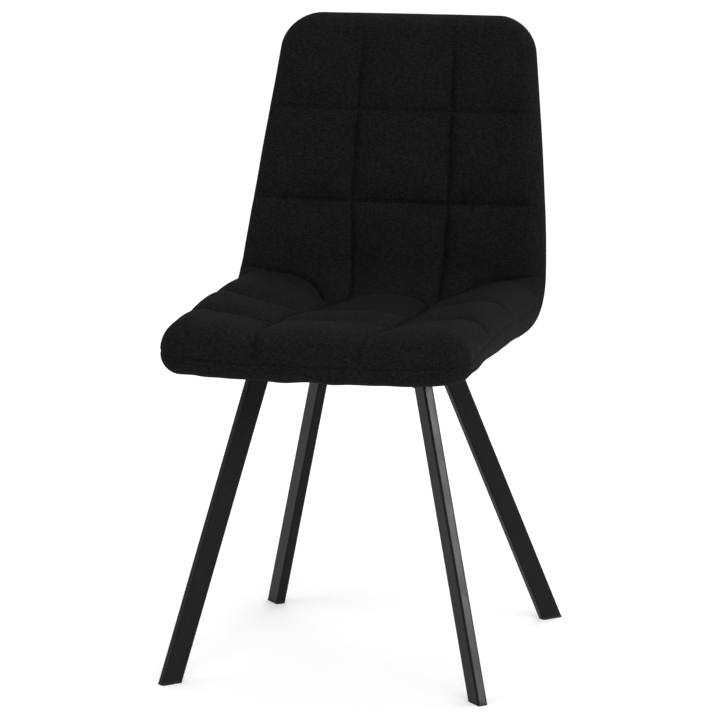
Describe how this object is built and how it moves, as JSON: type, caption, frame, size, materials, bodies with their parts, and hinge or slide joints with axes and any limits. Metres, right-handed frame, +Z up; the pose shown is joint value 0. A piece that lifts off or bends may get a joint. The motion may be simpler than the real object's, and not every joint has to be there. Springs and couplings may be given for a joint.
{
  "type": "dining chair",
  "caption": "Armless dining chair: a quilted, padded one-piece seat and back shell on a welded frame of four splayed flat tube legs.",
  "frame": {"origin": "on the floor, in the middle of the chair's overall width and depth", "axes": "+Z up, the front of the chair faces -Y, +X to the right for someone who looks at the chair from the front"},
  "size_m": [0.4742, 0.5701, 0.8807],
  "materials": {
    "cover_fabric": "woven black upholstery fabric",
    "dust_cover_cloth": "black non-woven dust cover",
    "foam": "grey-cream upholstery foam",
    "wadding": "white polyester wadding",
    "plywood": "bent beech plywood, unfinished",
    "powder_coat": "fine-textured black powder coat on steel",
    "plug_plastic": "black moulded polyethylene",
    "zinc_steel": "bright zinc-plated steel"
  },
  "bodies": {
    "root": {"plywood_shell": "plywood", "seat_foam": "foam", "back_foam": "foam", "back_wadding": "wadding", "quilted_front_cover": "cover_fabric", "rear_cover": "cover_fabric", "dust_cover": "dust_cover_cloth", "dust_cover_staples": "zinc_steel", "tee_nuts": "zinc_steel", "leg_front_left": "powder_coat", "leg_front_right": "powder_coat", "leg_rear_left": "powder_coat", "leg_rear_right": "powder_coat", "cross_bar": "powder_coat", "cross_bar_half_front": "powder_coat", "cross_bar_half_rear": "powder_coat", "mounting_strip_front": "powder_coat", "mounting_strip_rear": "powder_coat", "foot_plug_front_left": "plug_plastic", "foot_plug_front_right": "plug_plastic", "foot_plug_rear_left": "plug_plastic", "foot_plug_rear_right": "plug_plastic", "seat_bolts": "zinc_steel", "flat_washers": "zinc_steel", "spring_washers": "zinc_steel"}
  },
  "joints": []
}
